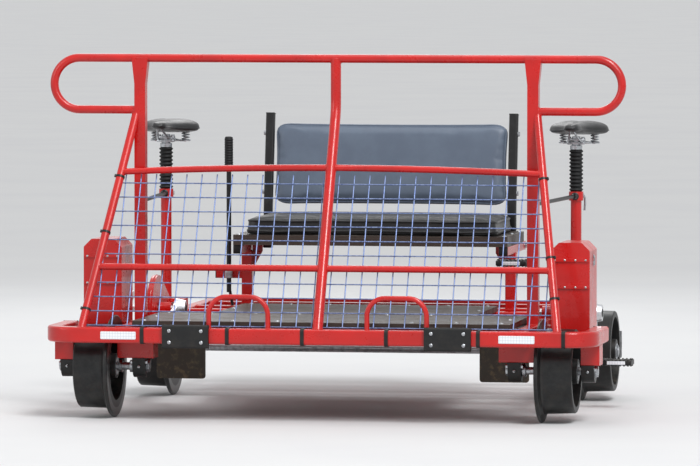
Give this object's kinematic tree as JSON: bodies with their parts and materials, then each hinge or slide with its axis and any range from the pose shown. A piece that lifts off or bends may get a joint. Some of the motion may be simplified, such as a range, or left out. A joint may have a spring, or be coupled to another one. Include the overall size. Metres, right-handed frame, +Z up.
{
  "type": "pedal rail cycle",
  "caption": "Pedal-driven rail cycle on flanged wheels: red tube frame, sloping mesh guard, handrail with loop ends, side saddles with cranks and a padded bench.",
  "frame": {"origin": "on the floor under the middle of the vehicle, flanges standing on the floor", "axes": "+Z up, -Y forwards, +X to the vehicle's own left"},
  "size_m": [1.888, 1.762, 1.1695],
  "materials": {
    "red_enamel": "glossy red enamel on steel",
    "galvanised_wire": "galvanised welded wire",
    "black_rubber": "moulded rubber",
    "grey_rubber": "sheet rubber with cloth",
    "wheel_nylon": "turned black nylon",
    "black_plastic": "moulded plastic",
    "bare_steel": "zinc plated",
    "cast_aluminium": "cast and polished",
    "grey_vinyl": "padded vinyl",
    "black_vinyl": "padded vinyl",
    "dark_board": "film faced board",
    "reflective_tape": "white reflective sheet"
  },
  "bodies": {
    "chassis": {"side_rails": "red_enamel", "cross_members": "red_enamel", "rear_beam": "red_enamel", "front_bumper": "red_enamel", "bumper_straps": "black_rubber", "bumper_pads": "black_rubber", "reflector_strips": "reflective_tape", "lift_hoops": "red_enamel", "handrail": "red_enamel", "front_posts": "red_enamel", "guard_side_tubes": "red_enamel", "centre_upright": "red_enamel", "guard_rails": "red_enamel", "guard_mesh": "galvanised_wire", "floor_plate": "dark_board", "pedal_flaps": "grey_rubber", "side_boxes": "red_enamel", "front_brackets": "red_enamel", "axle_bearings": "black_plastic", "front_axles": "bare_steel", "rear_brackets": "red_enamel", "chain_cases": "red_enamel", "crank_bearings": "red_enamel", "saddle_posts": "red_enamel", "saddle_pillars": "black_plastic", "saddles": "black_vinyl", "tie_rods": "black_plastic", "bench_frames": "red_enamel", "bench_back_posts": "black_plastic", "bench_pan": "dark_board", "bench_seat": "black_vinyl", "bench_back": "grey_vinyl", "brake_lever": "black_plastic", "brake_beam": "bare_steel", "tow_plate": "red_enamel"},
    "front_wheel_left": {"front_wheel_left": "wheel_nylon"},
    "front_wheel_right": {"front_wheel_right": "wheel_nylon"},
    "rear_wheelset": {"rear_axle": "bare_steel", "rear_wheels": "wheel_nylon"},
    "crank_left": {"crank_left": "cast_aluminium"},
    "pedal_outer_left": {"pedal_outer_left": "black_plastic"},
    "pedal_inner_left": {"pedal_inner_left": "black_plastic"},
    "crank_right": {"crank_right": "cast_aluminium"},
    "pedal_outer_right": {"pedal_outer_right": "black_plastic"},
    "pedal_inner_right": {"pedal_inner_right": "black_plastic"}
  },
  "joints": [
    {"name": "front_wheel_left_spin", "type": "hinge", "parent": "chassis", "child": "front_wheel_left", "pos_m": [0.749, -0.664, 0.165], "axis": [1, 0, 0], "continuous": true},
    {"name": "front_wheel_right_spin", "type": "hinge", "parent": "chassis", "child": "front_wheel_right", "pos_m": [-0.749, -0.664, 0.165], "axis": [1, 0, 0], "continuous": true},
    {"name": "rear_wheelset_spin", "type": "hinge", "parent": "chassis", "child": "rear_wheelset", "pos_m": [0, 0.301, 0.165], "axis": [1, 0, 0], "continuous": true},
    {"name": "crank_left_spin", "type": "hinge", "parent": "chassis", "child": "crank_left", "pos_m": [0.695, -0.113, 0.318], "axis": [1, 0, 0], "continuous": true},
    {"name": "pedal_outer_left_spin", "type": "hinge", "parent": "crank_left", "child": "pedal_outer_left", "pos_m": [0.863, -0.069, 0.15379], "axis": [1, 0, 0], "continuous": true},
    {"name": "pedal_inner_left_spin", "type": "hinge", "parent": "crank_left", "child": "pedal_inner_left", "pos_m": [0.527, -0.157, 0.48221], "axis": [1, 0, 0], "continuous": true},
    {"name": "crank_right_spin", "type": "hinge", "parent": "chassis", "child": "crank_right", "pos_m": [-0.695, -0.113, 0.318], "axis": [1, 0, 0], "continuous": true},
    {"name": "pedal_outer_right_spin", "type": "hinge", "parent": "crank_right", "child": "pedal_outer_right", "pos_m": [-0.863, 0.05328, 0.35335], "axis": [1, 0, 0], "continuous": true},
    {"name": "pedal_inner_right_spin", "type": "hinge", "parent": "crank_right", "child": "pedal_inner_right", "pos_m": [-0.527, -0.27929, 0.28265], "axis": [1, 0, 0], "continuous": true}
  ]
}
